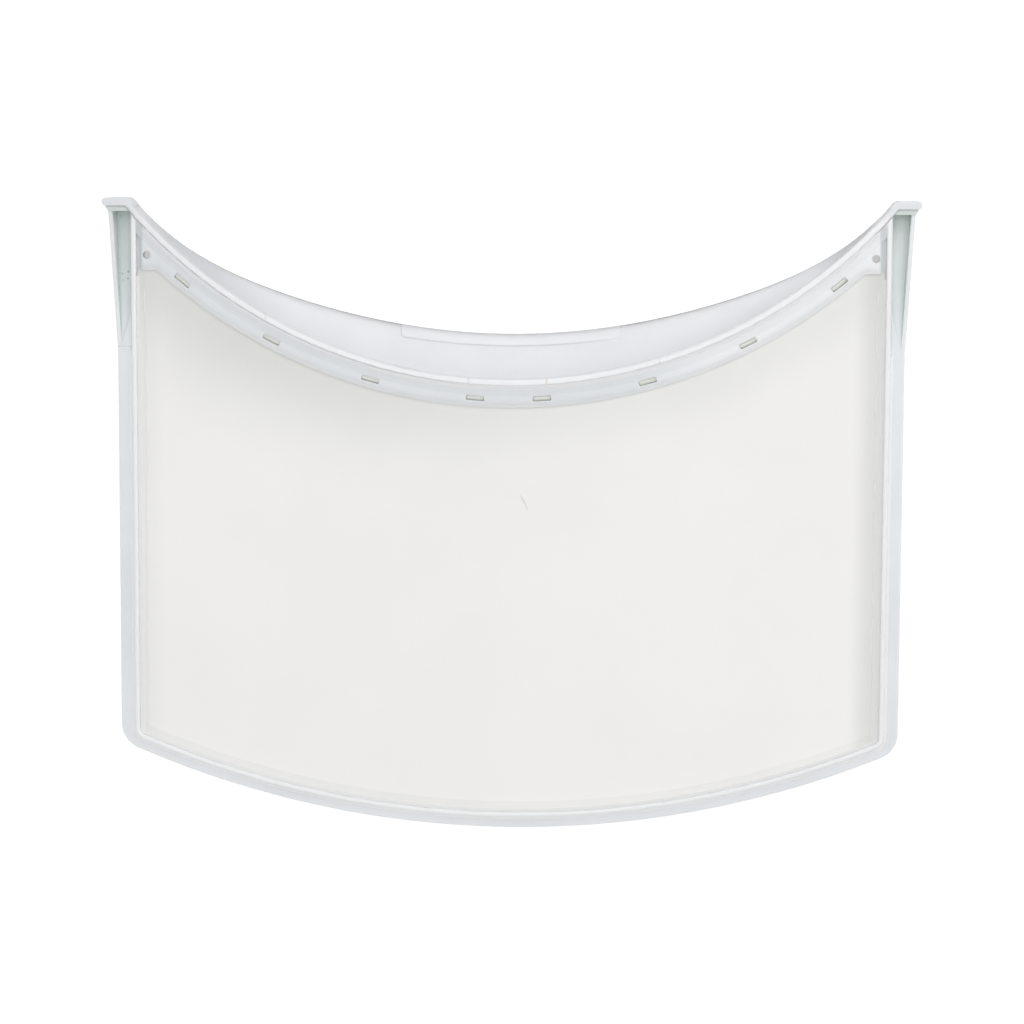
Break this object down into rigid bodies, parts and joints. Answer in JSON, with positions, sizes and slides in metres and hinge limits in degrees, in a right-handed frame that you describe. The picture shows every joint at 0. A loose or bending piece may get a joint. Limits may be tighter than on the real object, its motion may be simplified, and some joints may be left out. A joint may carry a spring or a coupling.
{
  "type": "dryer lint filter",
  "caption": "White moulded lint screen with a curved handle that clips on, a flanged frame and a fine woven mesh panel, made to slide into a dryer's filter slot.",
  "frame": {"origin": "middle of the bounding box's underside, on the plane of the frame's back rim", "axes": "+X across the filter, +Y towards the handle, +Z out of the lint side of the screen; the filter lies on its back"},
  "size_m": [0.3596, 0.28, 0.018],
  "materials": {
    "frame_plastic": "satin moulded white",
    "mesh": "fine woven polymer mesh, warm white",
    "handle_plastic": "satin moulded white"
  },
  "bodies": {
    "root": {"screen_frame": "frame_plastic", "filter_mesh": "mesh", "handle": "handle_plastic"}
  },
  "joints": []
}
